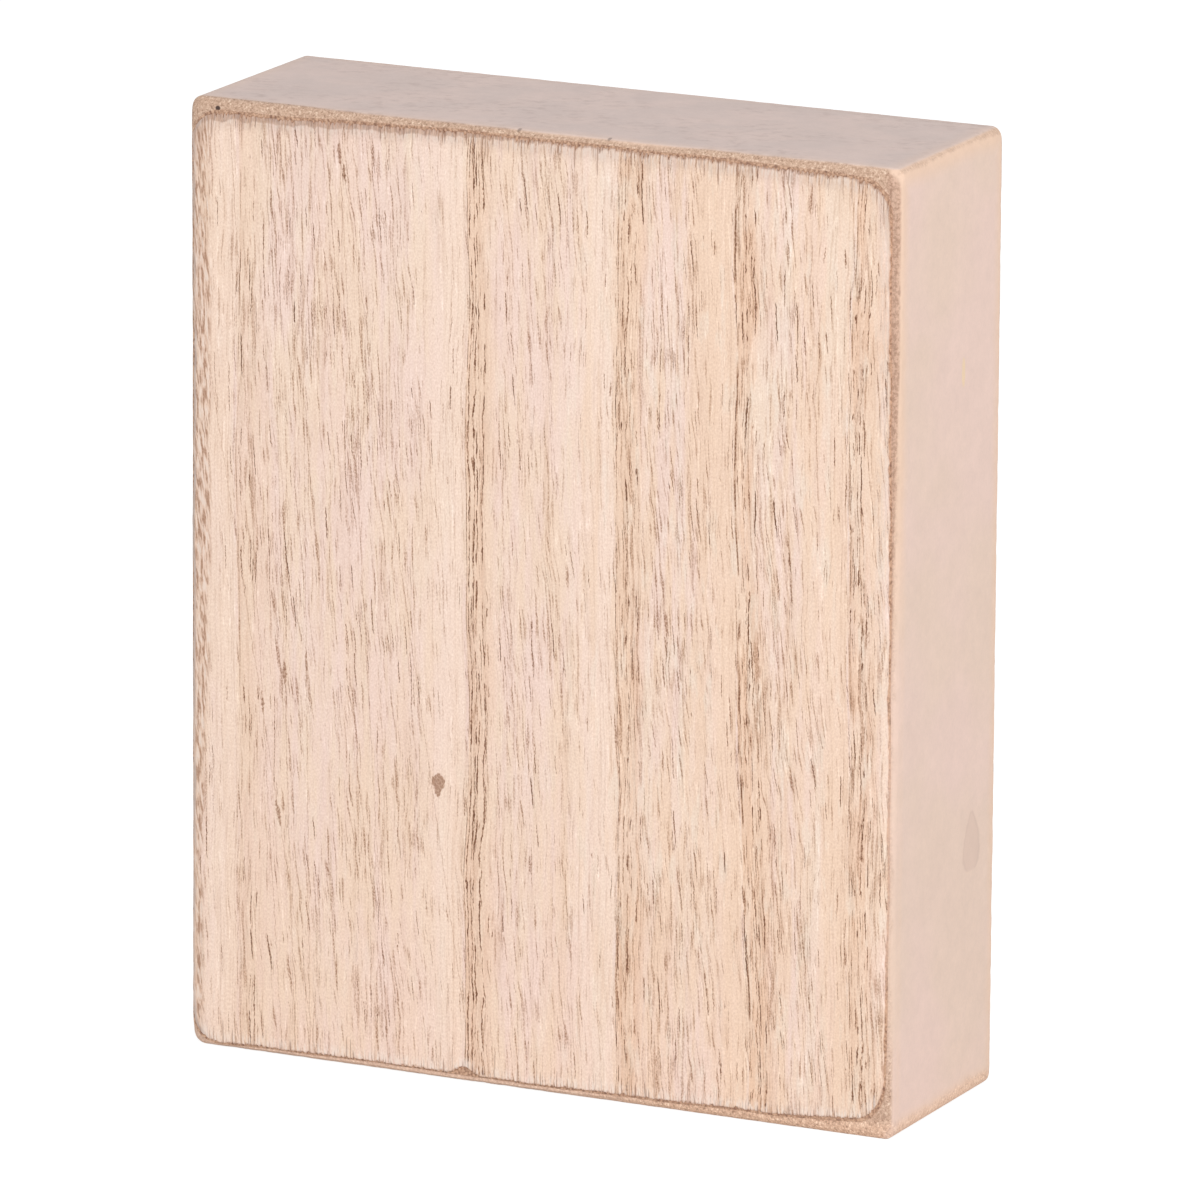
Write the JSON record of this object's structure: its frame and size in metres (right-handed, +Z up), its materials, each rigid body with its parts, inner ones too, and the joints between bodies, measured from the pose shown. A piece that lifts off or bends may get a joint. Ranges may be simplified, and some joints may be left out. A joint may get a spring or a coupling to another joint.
{
  "type": "tabletop plaque",
  "caption": "Upright rectangular block plaque with a wood-veneer face, washed sides and sanded edges that bare the board; stands on its lower edge.",
  "frame": {"origin": "middle of the underside, on the surface that the plaque stands on", "axes": "+Z up; the veneered front faces -Y; +X to the right of someone looking at the front"},
  "size_m": [0.101, 0.0322, 0.127],
  "materials": {
    "washed_board": "thin matte whitewash over fibreboard, sanded through to bare tan board along the edges",
    "washed_veneer": "whitewashed open-grained veneer, matte, with the pores left dark",
    "glue_line": "hardened glue film, burnished brown where the edge was sanded"
  },
  "bodies": {
    "root": {"board_core": "washed_board", "front_glue_line": "glue_line", "front_veneer": "washed_veneer", "back_glue_line": "glue_line", "back_veneer": "washed_veneer"}
  },
  "joints": []
}
